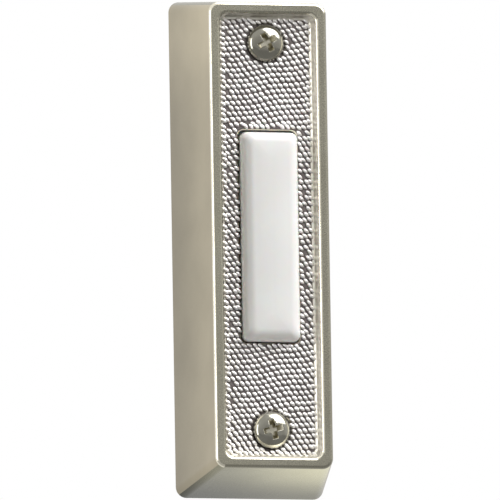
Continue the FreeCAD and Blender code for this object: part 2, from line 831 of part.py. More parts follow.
def check_and_export():
    document.recompute()
    for thing in document.Objects:
        if "Invalid" in thing.State or "Error" in thing.State:
            raise ValueError(f"{thing.Label} failed: {thing.State}")
    pieces = {thing.Label: thing for thing in document.Objects}
    for name in piece_names:
        shape = pieces[name].Shape
        if shape.isNull() or not shape.isValid() or len(shape.Solids) != 1:
            raise ValueError(f"{name} isn't one valid solid")
    os.makedirs("parts", exist_ok=True)
    for name in piece_names:
        shape = pieces[name].Shape
        shape.exportStep(f"parts/{name}.step")
        print(f"{name}: {shape.Volume:.2f} mm3, {len(shape.Faces)} faces")


make_all()
check_and_export()
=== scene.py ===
import json
import math
import random

import bmesh
import bpy
from mathutils import Matrix, Vector

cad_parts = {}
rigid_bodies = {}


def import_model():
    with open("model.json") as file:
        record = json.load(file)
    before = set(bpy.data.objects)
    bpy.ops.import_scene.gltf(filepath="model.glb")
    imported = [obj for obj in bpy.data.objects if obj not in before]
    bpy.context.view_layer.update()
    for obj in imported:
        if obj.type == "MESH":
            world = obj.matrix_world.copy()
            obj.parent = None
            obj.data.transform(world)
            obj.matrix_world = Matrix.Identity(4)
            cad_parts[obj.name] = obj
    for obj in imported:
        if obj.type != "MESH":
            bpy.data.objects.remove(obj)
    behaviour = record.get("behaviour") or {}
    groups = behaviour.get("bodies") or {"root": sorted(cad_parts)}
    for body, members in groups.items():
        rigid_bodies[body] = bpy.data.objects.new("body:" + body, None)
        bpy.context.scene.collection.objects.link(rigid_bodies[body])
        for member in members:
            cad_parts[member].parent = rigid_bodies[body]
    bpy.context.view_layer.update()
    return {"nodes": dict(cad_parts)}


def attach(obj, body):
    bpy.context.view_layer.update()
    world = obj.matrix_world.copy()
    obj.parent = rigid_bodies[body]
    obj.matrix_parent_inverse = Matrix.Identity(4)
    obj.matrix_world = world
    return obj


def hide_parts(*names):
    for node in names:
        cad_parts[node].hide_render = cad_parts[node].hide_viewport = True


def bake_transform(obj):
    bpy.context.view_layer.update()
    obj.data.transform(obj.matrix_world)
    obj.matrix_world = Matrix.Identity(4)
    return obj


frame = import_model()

mm = 0.001
hair = 0.001 * mm  # two places closer than this are the same
squareOn = 0.9  # a face or an edge with more than this share along an axis runs along it
cutPast = 1 * mm  # how far a cutting block reaches past what it cuts
sunkIn = 0.3 * mm  # how deep a joined block starts inside its neighbour


# selecting, settling and cutting
def clearSelection():
    if bpy.context.mode != "OBJECT":
        bpy.ops.object.mode_set(mode="OBJECT")
    bpy.ops.object.select_all(action="DESELECT")


def onlyActive(piece):
    clearSelection()
    piece.select_set(True)
    bpy.context.view_layer.objects.active = piece


def settle(name):
    # place, turn and size go into the mesh, and the object stays at the origin
    bpy.ops.object.transform_apply(location=True, rotation=True, scale=True)
    piece = bpy.context.object
    piece.name = name
    piece.data.name = name
    return piece


def startEdit(piece):
    onlyActive(piece)
    bpy.ops.object.mode_set(mode="EDIT")
    bpy.ops.mesh.select_all(action="DESELECT")


def endEdit():
    bpy.ops.object.mode_set(mode="OBJECT")


def pickFaces(test):
    bpy.ops.mesh.select_mode(type="FACE")
    bpy.ops.mesh.select_all(action="DESELECT")
    mesh = bmesh.from_edit_mesh(bpy.context.object.data)
    for face in mesh.faces:
        face.select_set(bool(test(face)))
    mesh.select_flush_mode()
    bmesh.update_edit_mesh(bpy.context.object.data)


def pickEdges(test):
    bpy.ops.mesh.select_mode(type="EDGE")
    bpy.ops.mesh.select_all(action="DESELECT")
    mesh = bmesh.from_edit_mesh(bpy.context.object.data)
    for edge in mesh.edges:
        if test(edge):
            edge.select_set(True)
    mesh.select_flush_mode()
    bmesh.update_edit_mesh(bpy.context.object.data)


def runsBack(edge):
    run = (edge.verts[1].co - edge.verts[0].co).normalized()
    return abs(run.y) > squareOn


def atDepth(edge, y):
    return all(abs(vertex.co.y - y) < hair for vertex in edge.verts)


def facesFront(face):
    return face.normal.y < -squareOn


def taperedBlock(name, back, front, corner=0.0, segments=6, at=(0, 0)):
    # back and front are (y, width, height); the four edges from back to front are rounded
    clearSelection()
    bpy.ops.mesh.primitive_cube_add(
        size=1,
        location=(at[0], (back[0] + front[0]) / 2, at[1]),
        scale=(back[1], abs(back[0] - front[0]), back[2]),
    )
    block = settle(name)
    startEdit(block)
    pickFaces(facesFront)
    bpy.ops.transform.resize(
        value=(front[1] / back[1], 1, front[2] / back[2]), center_override=(at[0], front[0], at[1])
    )
    if corner:
        pickEdges(runsBack)
        bpy.ops.mesh.bevel(offset=corner, segments=segments, affect="EDGES")
    endEdit()
    return block


def rollFront(block, y, size, radius, steps, at=0):
    # the front face goes outwards in a quarter round, and then straight on past what it cuts
    startEdit(block)
    pickFaces(facesFront)
    grown, out = 0.0, 0.0
    for step in range(1, steps + 1):
        angle = step / steps * math.pi / 2
        nextGrown, nextOut = radius * (1 - math.cos(angle)), radius * math.sin(angle)
        bpy.ops.mesh.extrude_region_move(
            TRANSFORM_OT_translate={"value": (0, out - nextOut, 0)}
        )
        bpy.ops.transform.resize(
            value=(
                (size[0] + 2 * nextGrown) / (size[0] + 2 * grown),
                1,
                (size[1] + 2 * nextGrown) / (size[1] + 2 * grown),
            ),
            center_override=(at, y - nextOut, 0),
        )
        grown, out = nextGrown, nextOut
    bpy.ops.mesh.extrude_region_move(TRANSFORM_OT_translate={"value": (0, -cutPast, 0)})
    endEdit()


def turnedStack(name, stations, segments=32, x=0.0, z=0.0):
    # stations are (y, radius) from one end to the other; a last radius of 0 closes to a point
    clearSelection()
    bpy.ops.mesh.primitive_circle_add(
        vertices=segments,
        radius=stations[0][1],
        fill_type="NGON",
        rotation=(math.pi / 2, 0, 0),
        location=(x, stations[0][0], z),
    )
    piece = settle(name)
    startEdit(piece)
    bpy.ops.mesh.select_all(action="SELECT")
    for (y0, r0), (y1, r1) in zip(stations, stations[1:]):
        bpy.ops.mesh.extrude_region_move(TRANSFORM_OT_translate={"value": (0, y1 - y0, 0)})
        if r1 == 0:
            bpy.ops.mesh.merge(type="CENTER")
        elif r1 != r0:
            bpy.ops.transform.resize(value=(r1 / r0, 1, r1 / r0), center_override=(x, y1, z))
    bpy.ops.mesh.select_all(action="SELECT")
    bpy.ops.mesh.normals_make_consistent(inside=False)
    endEdit()
    return piece


def combine(piece, other, operation):
    onlyActive(piece)
    cut = piece.modifiers.new("cut", "BOOLEAN")
    cut.operation = operation
    cut.solver = "EXACT"
    cut.object = other
    bpy.ops.object.modifier_apply(modifier="cut")
    bpy.data.objects.remove(other)


def joinInto(piece, others):
    onlyActive(piece)
    for other in others:
        other.select_set(True)
    bpy.ops.object.join()


def softenShading(piece, degrees=32, weighted=True):
    onlyActive(piece)
    bpy.ops.object.shade_smooth_by_angle(angle=math.radians(degrees))
    if weighted:
        weight = piece.modifiers.new("weight", "WEIGHTED_NORMAL")
        weight.keep_sharp = True
        weight.weight = 90  # the large faces stay flat to the eye
        bpy.ops.object.modifier_apply(modifier="weight")


# nodes that several materials use
def newFinish(name):
    finish = bpy.data.materials.new(name)
    finish.use_nodes = True
    nodes = finish.node_tree.nodes
    return finish, nodes, finish.node_tree.links, nodes["Principled BSDF"]


def pieceCoordinates(nodes, links):
    # the piece's own coordinates, in metres and in millimetres
    place = nodes.new("ShaderNodeTexCoord")
    scale = nodes.new("ShaderNodeMapping")
    scale.inputs["Scale"].default_value = [1 / mm] * 3
    links.new(place.outputs["Object"], scale.inputs["Vector"])
    return place.outputs["Object"], scale.outputs["Vector"]


def alongAxis(nodes, links, place, axis):
    parts = nodes.new("ShaderNodeSeparateXYZ")
    links.new(place, parts.inputs["Vector"])
    return parts.outputs[axis]


def addNoise(nodes, links, place, size, detail):
    noise = nodes.new("ShaderNodeTexNoise")
    noise.inputs["Scale"].default_value = 1 / size
    noise.inputs["Detail"].default_value = detail
    links.new(place, noise.inputs["Vector"])
    return noise.outputs["Fac"]


def addRange(nodes, links, value, before, after, steps="LINEAR"):
    # what runs over the range before is spread over the range after
    spread = nodes.new("ShaderNodeMapRange")
    spread.interpolation_type = steps
    for socket, amount in zip(("From Min", "From Max", "To Min", "To Max"), (*before, *after)):
        spread.inputs[socket].default_value = amount
    links.new(value, spread.inputs["Value"])
    return spread.outputs["Result"]


def addTones(nodes, links, value, stops, first, last):
    tones = nodes.new("ShaderNodeValToRGB")
    for element, stop, colour in zip(tones.color_ramp.elements, stops, (first, last)):
        element.position = stop
        element.color = (*colour, 1)
    links.new(value, tones.inputs["Fac"])
    return tones.outputs["Color"]


def mixShaders(nodes, links, share, first, second):
    mixed = nodes.new("ShaderNodeMixShader")
    links.new(share, mixed.inputs["Fac"])
    links.new(first.outputs[0], mixed.inputs[1])
    links.new(second.outputs[0], mixed.inputs[2])
    return mixed


plainLook = {
    # what a finish has where its own entry says nothing else
    "toneStops": (0.3, 0.7), "cloudDetail": 4, "grainDetail": 3, "fades": [],
    "reliefStrength": 0.3, "metallic": 0.0, "inner": 0.0, "innerDepth": 0.5,
    "clear": 0.0, "ior": 1.5, "coat": 0.0, "coatRoughness": 0.1,
}


def makeFinish(name, ownLook):
    # a surface in two close tones, with grain in its roughness and its relief, and fades along an
    # axis that paint light and shade
    look = {**plainLook, **ownLook}
    finish, nodes, links, shader = newFinish(name)
    place, fine = pieceCoordinates(nodes, links)

    cloud = addNoise(nodes, links, fine, look["cloudSize"], look["cloudDetail"])
    colour = addTones(nodes, links, cloud, look["toneStops"], look["darker"], look["lighter"])
    for axis, start, end, gain in look["fades"]:
        # painted light and shade: the tone is multiplied from one value to the other along an axis
        fade = addRange(
            nodes, links, alongAxis(nodes, links, place, axis), (start, end), gain, "SMOOTHSTEP"
        )
        faded = nodes.new("ShaderNodeVectorMath")
        faded.operation = "SCALE"
        links.new(colour, faded.inputs[0])
        links.new(fade, faded.inputs["Scale"])
        colour = faded.outputs["Vector"]
    links.new(colour, shader.inputs["Base Color"])

    grain = addNoise(nodes, links, fine, look["grainSize"], look["grainDetail"])
    gloss = addRange(nodes, links, grain, (0, 1), look["roughness"])
    links.new(gloss, shader.inputs["Roughness"])
    relief = nodes.new("ShaderNodeBump")
    relief.inputs["Strength"].default_value = look["reliefStrength"]
    relief.inputs["Distance"].default_value = look["relief"] * mm
    links.new(grain, relief.inputs["Height"])
    links.new(relief.outputs["Normal"], shader.inputs["Normal"])

    shader.inputs["Metallic"].default_value = look["metallic"]
    shader.inputs["Subsurface Weight"].default_value = look["inner"]
    shader.inputs["Subsurface Scale"].default_value = look["innerDepth"] * mm
    shader.inputs["Transmission Weight"].default_value = look["clear"]
    shader.inputs["IOR"].default_value = look["ior"]
    shader.inputs["Coat Weight"].default_value = look["coat"]
    shader.inputs["Coat Roughness"].default_value = look["coatRoughness"]
    return finish


def dress(piece, *looks):
    piece.data.materials.clear()
    for look in looks:
        piece.data.materials.append(made[look])


# the satin plating, which three parts of the case share; the side and low-end copies of it carry
# painted light and shade
satin = {
    "metallic": 1.0, "roughness": (0.22, 0.34), "cloudSize": 7.0, "grainSize": 0.18,
    "relief": 0.006, "reliefStrength": 0.25,
}
# darker and lighter are the two tones; cloudSize, grainSize, relief and innerDepth are in
# millimetres; fades paint light and shade along an axis
finishes = {
    "satinNickel": {
        **satin, "darker": (0.30, 0.285, 0.225), "lighter": (0.345, 0.33, 0.265),
        # painted shade: the plating darkens towards the right
        "fades": [("X", -8 * mm, 8 * mm, (1.02, 0.92))],
    },
    # the flanks: a warmer copy of the plating, with painted shade darker towards the back and painted
    # light brighter towards the top end
    "sideNickel": {
        **satin, "darker": (0.28, 0.245, 0.17), "lighter": (0.325, 0.285, 0.20),
        "roughness": (0.24, 0.36),
        "fades": [("Y", 0.0, -15 * mm, (0.86, 1.25)), ("Z", 17 * mm, 32 * mm, (1.0, 1.4))],
    },
    # the low end: a copy of the plating with painted shade dark towards the back and painted light
    # bright towards the right
    "lowEndNickel": {
        **satin, "darker": (0.27, 0.255, 0.165), "lighter": (0.31, 0.295, 0.20),
        "fades": [("Y", 0.0, -16 * mm, (0.24, 1.12)), ("X", -9 * mm, 10 * mm, (0.68, 2.2))],
    },
    # the recess walls: a much lighter copy of the plating as a painted reflection, with painted shade
    # darker on the top wall
    "recessNickel": {
        "darker": (0.86, 0.83, 0.73), "lighter": (0.93, 0.90, 0.80), "metallic": 1.0,
        "roughness": (0.34, 0.46), "cloudSize": 5.0, "grainSize": 0.15, "relief": 0.006,
        "fades": [("Z", 30.0 * mm, 30.8 * mm, (1.0, 0.8))],
    },
    # painted highlight on rounded edges that face the lamps, on the opening's lip and on the screws'
    # cross edges
    "paintedHighlightEdge": {
        "darker": (0.74, 0.70, 0.57), "lighter": (0.82, 0.78, 0.65), "metallic": 1.0,
        "roughness": (0.2, 0.3), "cloudSize": 5.0, "grainSize": 0.15, "relief": 0.004,
    },
    # painted light: the cross recess is much lighter than the head so that its deep arms don't show
    # their shade
    "screwRecess": {
        "darker": (0.44, 0.42, 0.34), "lighter": (0.58, 0.55, 0.45), "metallic": 1.0,
        "roughness": (0.22, 0.36), "cloudSize": 0.8, "grainSize": 0.1, "relief": 0.006,
    },
    # painted shade: the dark floor between the pebbles and in the screw seats
    "fieldPaintedShade": {
        "darker": (0.145, 0.126, 0.121), "lighter": (0.19, 0.168, 0.162), "metallic": 1.0,
        "roughness": (0.35, 0.5), "cloudSize": 3.0, "grainSize": 0.15, "relief": 0.004,
    },
    "buttonWhite": {
        "darker": (0.83, 0.83, 0.825), "lighter": (0.87, 0.87, 0.865), "roughness": (0.42, 0.52),
        "cloudSize": 9.0, "grainSize": 0.3, "relief": 0.004, "inner": 0.15, "innerDepth": 0.8,
        "coat": 0.1, "coatRoughness": 0.2,
    },
    "chrome": {
        "darker": (0.25, 0.24, 0.20), "lighter": (0.31, 0.30, 0.255), "metallic": 1.0,
        "roughness": (0.1, 0.18), "cloudSize": 2.0, "grainSize": 0.12, "relief": 0.004,
    },
    "screwZinc": {
        "darker": (0.46, 0.46, 0.45), "lighter": (0.58, 0.58, 0.56), "metallic": 1.0,
        "roughness": (0.22, 0.38), "cloudSize": 1.2, "grainSize": 0.12, "relief": 0.006,
    },
    "brass": {
        "darker": (0.62, 0.42, 0.16), "lighter": (0.74, 0.53, 0.24), "metallic": 1.0,
        "roughness": (0.22, 0.36), "cloudSize": 3.0, "grainSize": 0.2, "relief": 0.006,
    },
    "silver": {
        "darker": (0.72, 0.71, 0.68), "lighter": (0.82, 0.81, 0.78), "metallic": 1.0,
        "roughness": (0.15, 0.28), "cloudSize": 0.8, "grainSize": 0.1, "relief": 0.004,
    },
    "springSteel": {
        "darker": (0.40, 0.40, 0.41), "lighter": (0.52, 0.52, 0.53), "metallic": 1.0,
        "roughness": (0.2, 0.32), "cloudSize": 1.0, "grainSize": 0.08, "relief": 0.004,
    },
    "basePlastic": {
        "darker": (0.030, 0.028, 0.026), "lighter": (0.045, 0.042, 0.038), "roughness": (0.42, 0.6),
        "cloudSize": 5.0, "grainSize": 0.2, "relief": 0.01,
    },
    "tinnedWire": {
        "darker": (0.52, 0.52, 0.51), "lighter": (0.66, 0.66, 0.64), "metallic": 1.0,
        "roughness": (0.25, 0.4), "cloudSize": 1.5, "grainSize": 0.1, "relief": 0.006,
    },
    "lampLens": {
        "darker": (0.80, 0.62, 0.30), "lighter": (0.88, 0.72, 0.42), "roughness": (0.08, 0.16),
        "cloudSize": 2.0, "grainSize": 0.3, "relief": 0.002, "clear": 0.75, "ior": 1.52,
    },
    "resistorCoat": {
        "darker": (0.55, 0.42, 0.26), "lighter": (0.64, 0.50, 0.33), "roughness": (0.35, 0.5),
        "cloudSize": 1.5, "grainSize": 0.15, "relief": 0.006,
    },
}
made = {name: makeFinish(name, look) for name, look in finishes.items()}
print("finishes made")


# the case: tapered block, rolled rim, recess, cavity, bosses, opening and screw seats
case = {
    "back": (0.0, 21.08 * mm, 69.85 * mm), "front": (-15.88 * mm, 16.64 * mm, 65.21 * mm),
    "corner": 1.5 * mm, "edgeRound": 0.42 * mm, "wall": 1.35 * mm,
    "rim": 1.5 * mm, "floor": -13.98 * mm, "draft": 0.3 * mm, "cove": 0.4 * mm,
    "fieldCorner": 1.2 * mm, "rimRoll": 0.36 * mm,
    "inner": -12.38 * mm, "cavityCorner": 0.8 * mm,
    "opening": (8.36 * mm, 29.84 * mm), "openingAt": 0.09 * mm, "openingCorner": 0.9 * mm,
    "openingBack": -11 * mm, "lip": 0.3 * mm,
    "screwAt": 27.15 * mm, "spot": 2.9 * mm, "spotDepth": 0.25 * mm, "seatEdge": 0.05 * mm,
    "hole": 1.65 * mm, "holeEnds": (-14.6 * mm, -8 * mm),
    "boss": 3.0 * mm, "bossLength": 3.0 * mm, "bossEdge": 0.2 * mm,
    "baseScrewAt": 23.05 * mm, "baseBoss": 1.6 * mm, "baseFront": -6.8 * mm,
    "pilot": 0.85 * mm, "pilotEnds": (-11.6 * mm, -6 * mm),
}
# how the faces of the case are told apart for their finish and its painted light and shade
plating = {
    "rounded": (0.04, 0.985),  # share towards the front of a face on a rounded edge
    "highlightShare": 0.1,  # share to the left or upwards from which a rounded edge gets a painted highlight
    "flank": 0.7,  # share sideways or down of a face on a flank or on the low end
    "lowEnd": 3 * mm, "floorSlack": 0.01 * mm, "frontSlack": 0.02 * mm,
}


def roundedFinish(facing):
    # a painted highlight goes on rounded faces that face left or upwards
    lit = facing.x < -plating["highlightShare"] or facing.z > plating["highlightShare"]
    return "paintedHighlightEdge" if lit else "satinNickel"


def caseFinishAt(at, facing, mouth):
    # the plating is darkest in the field as painted shade, bright on the edges as a painted
    # highlight, and warm on the flanks with painted light and shade; the recess walls carry a painted
    # reflection and the low end painted light and shade
    front, floor, roll = case["front"][0], case["floor"], case["rimRoll"]
    inMouth = abs(at.x) < mouth[0] / 2 + roll and abs(at.z) < mouth[1] / 2 + roll
    rounded = plating["rounded"][0] < -facing.y < plating["rounded"][1]
    if inMouth and at.y > floor - plating["floorSlack"]:
        # painted shade on the field floor between the pebbles and in the screw seats
        if at.y < floor + case["spotDepth"] + plating["floorSlack"] and facing.y < -squareOn:
            return "fieldPaintedShade"
        # painted highlight on the opening's lip roll
        if at.y < floor + case["lip"] and rounded:
            return "paintedHighlightEdge"
        return "satinNickel"
    if inMouth and at.y > front + plating["frontSlack"]:
        # painted reflection on the recess walls, and a painted highlight on the rim roll where it
        # faces left or up
        return "recessNickel" if at.y > front + roll else roundedFinish(facing)
    if at.y < front + case["edgeRound"] and rounded:
        return roundedFinish(facing)
    # painted light and shade on the low end
    if facing.z < -plating["flank"] and at.z < -case["back"][2] / 2 + plating["lowEnd"]:
        return "lowEndNickel"
    # painted light and shade on the flanks
    if abs(facing.x) > plating["flank"] and abs(at.x) > case["front"][1] / 2 - case["edgeRound"]:
        return "sideNickel"
    return "satinNickel"


def cutCavity(shell):
    # the walls of the hollow follow the taper, so its block is drawn on past the open back
    front, back, inner = case["front"], case["back"], case["inner"]
    taper = inner / front[0]
    innerSize = [b - (b - f) * taper - 2 * case["wall"] for b, f in zip(back[1:], front[1:])]
    mouthSize = [size - 2 * case["wall"] for size in back[1:]]
    grow = cutPast / abs(inner)
    backSize = [m + (m - i) * grow for m, i in zip(mouthSize, innerSize)]
    cavity = taperedBlock(
        "cavity", (cutPast, *backSize), (inner, *innerSize), case["cavityCorner"], segments=5
    )
    combine(shell, cavity, "DIFFERENCE")


def addBosses(shell, side):
    low = case["inner"] - sunkIn
    high = case["inner"] + case["bossLength"]
    screwBoss = turnedStack("boss", [
        (low, case["boss"]), (high - case["bossEdge"], case["boss"]),
        (high, case["boss"] - case["bossEdge"]),
    ], segments=36, z=side * case["screwAt"])
    combine(shell, screwBoss, "UNION")
    baseBoss = turnedStack(
        "boss", [(low, case["baseBoss"]), (case["baseFront"], case["baseBoss"])],
        segments=32, z=side * case["baseScrewAt"],
    )
    combine(shell, baseBoss, "UNION")


def cutScrewHoles(shell, side):
    floor, spot, edge = case["floor"], case["spot"], case["seatEdge"]
    z = side * case["screwAt"]
    seat = turnedStack("seat", [
        (floor - cutPast, spot + edge), (floor, spot + edge), (floor + edge, spot),
        (floor + case["spotDepth"], spot),
    ], segments=48, z=z)
    combine(shell, seat, "DIFFERENCE")
    hole = turnedStack("hole", [(y, case["hole"]) for y in case["holeEnds"]], segments=36, z=z)
    combine(shell, hole, "DIFFERENCE")
    pilot = turnedStack(
        "pilot", [(y, case["pilot"]) for y in case["pilotEnds"]],
        segments=24, z=side * case["baseScrewAt"],
    )
    combine(shell, pilot, "DIFFERENCE")


def makeCase():
    front = case["front"]
    shell = taperedBlock("caseShell", case["back"], front, case["corner"], segments=8)
    startEdit(shell)
    pickEdges(lambda edge: atDepth(edge, front[0]))
    bpy.ops.mesh.bevel(offset=case["edgeRound"], segments=5, affect="EDGES")
    endEdit()

    mouth = [size - 2 * case["rim"] for size in front[1:]]
    field = [size - 2 * case["draft"] for size in mouth]
    rollAt = front[0] + case["rimRoll"]
    recess = taperedBlock("recess", (case["floor"], *field), (rollAt, *mouth), case["fieldCorner"])
    startEdit(recess)
    pickEdges(lambda edge: atDepth(edge, case["floor"]))
    bpy.ops.mesh.bevel(offset=case["cove"], segments=7, affect="EDGES")
    endEdit()
    rollFront(recess, rollAt, mouth, case["rimRoll"], steps=4)
    combine(shell, recess, "DIFFERENCE")

    cutCavity(shell)
    for side in (1, -1):
        addBosses(shell, side)

    rollAt = case["floor"] + case["lip"]
    opening = taperedBlock(
        "opening", (case["openingBack"], *case["opening"]), (rollAt, *case["opening"]),
        case["openingCorner"], segments=8, at=(case["openingAt"], 0),
    )
    rollFront(opening, rollAt, case["opening"], case["lip"], steps=6, at=case["openingAt"])
    combine(shell, opening, "DIFFERENCE")
    for side in (1, -1):
        cutScrewHoles(shell, side)

    softenShading(shell)
    used = (
        "satinNickel", "fieldPaintedShade", "recessNickel", "lowEndNickel", "sideNickel", "paintedHighlightEdge",
    )
    dress(shell, *used)
    for face in shell.data.polygons:
        face.material_index = used.index(caseFinishAt(face.center, face.normal, mouth))
    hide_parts("cover")
    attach(shell, "case")


makeCase()
print("case done")


# pebbled field; its sizes are in millimetres
pebbles = {
    "pitch": (0.785, 0.765), "rise": 8.4, "half": (0.53, 0.29), "height": 0.34, "sides": (10, 8),
    "tilt": -39.0, "field": (6.1, 30.4), "left": 4.34, "right": 4.62, "top": 15.45, "low": 15.3,
    "spot": 3.02, "push": 0.44, "room": 0.46, "sunk": 0.01,
    "slide": -0.5, "waveHeight": 0.12, "waveLength": 7.4, "seed": 11,
    # how far each row and each pebble strays from its place, turn and size
    "firstPhase": 6, "phaseStep": (-0.12, 0.16), "strayAlong": 0.05, "strayAcross": 0.045,
    "strayTilt": 9, "longer": (0.92, 1.06), "wider": (0.92, 1.08), "taller": (0.88, 1.0),
}
# painted highlight bright on the tops of the pebbles, and painted shade darkened down between them
pebblePaintedLight = {
    "height": 0.35 * mm, "stops": (0.2, 0.56), "dark": (0.18, 0.157, 0.152),
    "bright": (0.94, 0.915, 0.90), "grainSize": 0.625, "grainDetail": 3, "grainShare": 0.25,
    "roughness": (0.26, 0.4),
}


def makePebbleFinish():
    finish, nodes, links, shader = newFinish("pebbleNickel")
    place, fine = pieceCoordinates(nodes, links)
    floor = case["floor"]
    # the colour runs by height from painted shade at the floor to a painted highlight on the pebbles'
    # tops
    height = addRange(
        nodes, links, alongAxis(nodes, links, place, "Y"), (floor, floor - pebblePaintedLight["height"]), (0, 1)
    )
    tones = addTones(nodes, links, height, pebblePaintedLight["stops"], pebblePaintedLight["dark"], pebblePaintedLight["bright"])
    grain = addNoise(nodes, links, fine, pebblePaintedLight["grainSize"], pebblePaintedLight["grainDetail"])
    mixed = nodes.new("ShaderNodeMix")
    mixed.data_type = "RGBA"
    mixed.blend_type = "MULTIPLY"
    mixed.inputs["Factor"].default_value = pebblePaintedLight["grainShare"]
    links.new(tones, mixed.inputs["A"])
    links.new(grain, mixed.inputs["B"])
    links.new(mixed.outputs["Result"], shader.inputs["Base Color"])
    gloss = addRange(nodes, links, grain, (0, 1), pebblePaintedLight["roughness"])
    links.new(gloss, shader.inputs["Roughness"])
    shader.inputs["Metallic"].default_value = 1
    return finish


def stray(rng, reach):
    return rng.uniform(-reach, reach)


def besideOpening(x, z):
    # a place just inside the opening's edge moves out to it, and one further in has no pebble
    openX = pebbles["right"] if x > 0 else pebbles["left"]
    openZ = pebbles["top"] if z > 0 else pebbles["low"]
    insideX, insideZ = openX - abs(x), openZ - abs(z)
    if insideX <= 0 or insideZ <= 0:
        return x, z
    if min(insideX, insideZ) > pebbles["push"]:
        return None
    if insideX < insideZ:
        return math.copysign(openX, x), z
    return x, math.copysign(openZ, z)


def besideScrew(x, z):
    # the same round the two screw seats
    spot, seat = pebbles["spot"], case["screwAt"] / mm
    reach = math.hypot(x, abs(z) - seat)
    if reach < spot - pebbles["push"]:
        return None
    if reach < spot:
        return x * (spot / reach), math.copysign(seat + (abs(z) - seat) * spot / reach, z)
    return x, z


def pebblePlaces(rng):
    # wavy rows, which rise to the right
    wide, tall = pebbles["field"]
    pitchX, pitchZ = pebbles["pitch"]
    push = pebbles["push"]
    rise = math.radians(pebbles["rise"])
    columns = int((wide + tall * math.sin(rise)) / pitchX) + 2
    rows = int((tall + wide * math.sin(rise)) / pitchZ) + 2
    phase = rng.uniform(0, pebbles["firstPhase"])
    places = []
    for row in range(-rows, rows + 1):
        slide = pitchX * (row * pebbles["slide"] % 1) + stray(rng, pebbles["strayAlong"])
        phase += rng.uniform(*pebbles["phaseStep"])
        for column in range(-columns, columns + 1):
            along = column * pitchX + slide + stray(rng, pebbles["strayAlong"])
            across = row * pitchZ + stray(rng, pebbles["strayAcross"])
            wave = math.sin(2 * math.pi * along / pebbles["waveLength"] + phase)
            across += pebbles["waveHeight"] * wave
            x = along * math.cos(rise) - across * math.sin(rise)
            z = along * math.sin(rise) + across * math.cos(rise)
            if abs(x) > wide + push or abs(z) > tall + push:
                continue
            place = besideOpening(max(-wide, min(wide, x)), max(-tall, min(tall, z)))
            place = place and besideScrew(*place)
            if place:
                places.append(place)
    kept = []
    for x, z in places:
        if all(math.hypot(x - a, z - b) > pebbles["room"] for a, b in kept):
            kept.append((x, z))
    return kept


def pebbleField():
    rng = random.Random(pebbles["seed"])
    clearSelection()
    segments, rings = pebbles["sides"]
    bpy.ops.mesh.primitive_uv_sphere_add(segments=segments, ring_count=rings, radius=1)
    pebble = settle("pebble")
    startEdit(pebble)
    bpy.ops.mesh.select_all(action="SELECT")
    bpy.ops.transform.resize(value=[size * mm for size in (*pebbles["half"], pebbles["height"])])
    bpy.ops.mesh.bisect(plane_co=(0, 0, 0), plane_no=(0, 0, 1), clear_inner=True, use_fill=True)
    endEdit()
    onlyActive(pebble)
    bpy.ops.object.shade_smooth()

    facing = Matrix.Rotation(math.pi / 2, 4, "X")
    placed = []
    for x, z in pebblePlaces(rng):
        copy = pebble.copy()
        copy.data = pebble.data.copy()
        bpy.context.collection.objects.link(copy)
        tilt = pebbles["tilt"] + stray(rng, pebbles["strayTilt"])
        turn = Matrix.Rotation(math.radians(tilt), 4, "Z")
        size = [rng.uniform(*pebbles[way]) for way in ("longer", "wider", "taller")]
        place = (x * mm, case["floor"] + pebbles["sunk"] * mm, z * mm)
        copy.matrix_world = Matrix.Translation(place) @ facing @ turn @ Matrix.Diagonal((*size, 1))
        placed.append(copy)
    bpy.data.objects.remove(pebble)
    joinInto(placed[0], placed[1:])
    field = settle("pebbleField")
    dress(field, "pebbleNickel")
    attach(field, "case")
    print("pebbles:", len(placed), "faces:", len(field.data.polygons))


made["pebbleNickel"] = makePebbleFinish()
pebbleField()


# the white bar button
bar = {
    "size": (8.0 * mm, 29.3 * mm), "at": (0.12 * mm, -0.12 * mm), "corner": 0.9 * mm,
    "back": -11.18 * mm, "front": -16.38 * mm, "edge": 1.6 * mm, "edgeSteps": 9,
    "crown": 0.12 * mm, "crownShares": (0.2, 0.42, 0.66, 0.88),
    "flange": (10.7 * mm, 30.5 * mm), "flangeFront": -12.18 * mm,
    "hollow": (5.5 * mm, 26.8 * mm), "hollowCorner": 0.6 * mm, "roof": -14.98 * mm,
    "rib": (6.75 * mm, 0.8 * mm), "ribAt": 5.315 * mm, "ribBack": -13.48 * mm,
    "plunger": (1.4 * mm, 3.0 * mm), "plungerTaper": 0.2 * mm, "plungerCorner": 0.2 * mm,
    "plungerAt": -4.4 * mm, "plungerBack": -9.3 * mm,
}


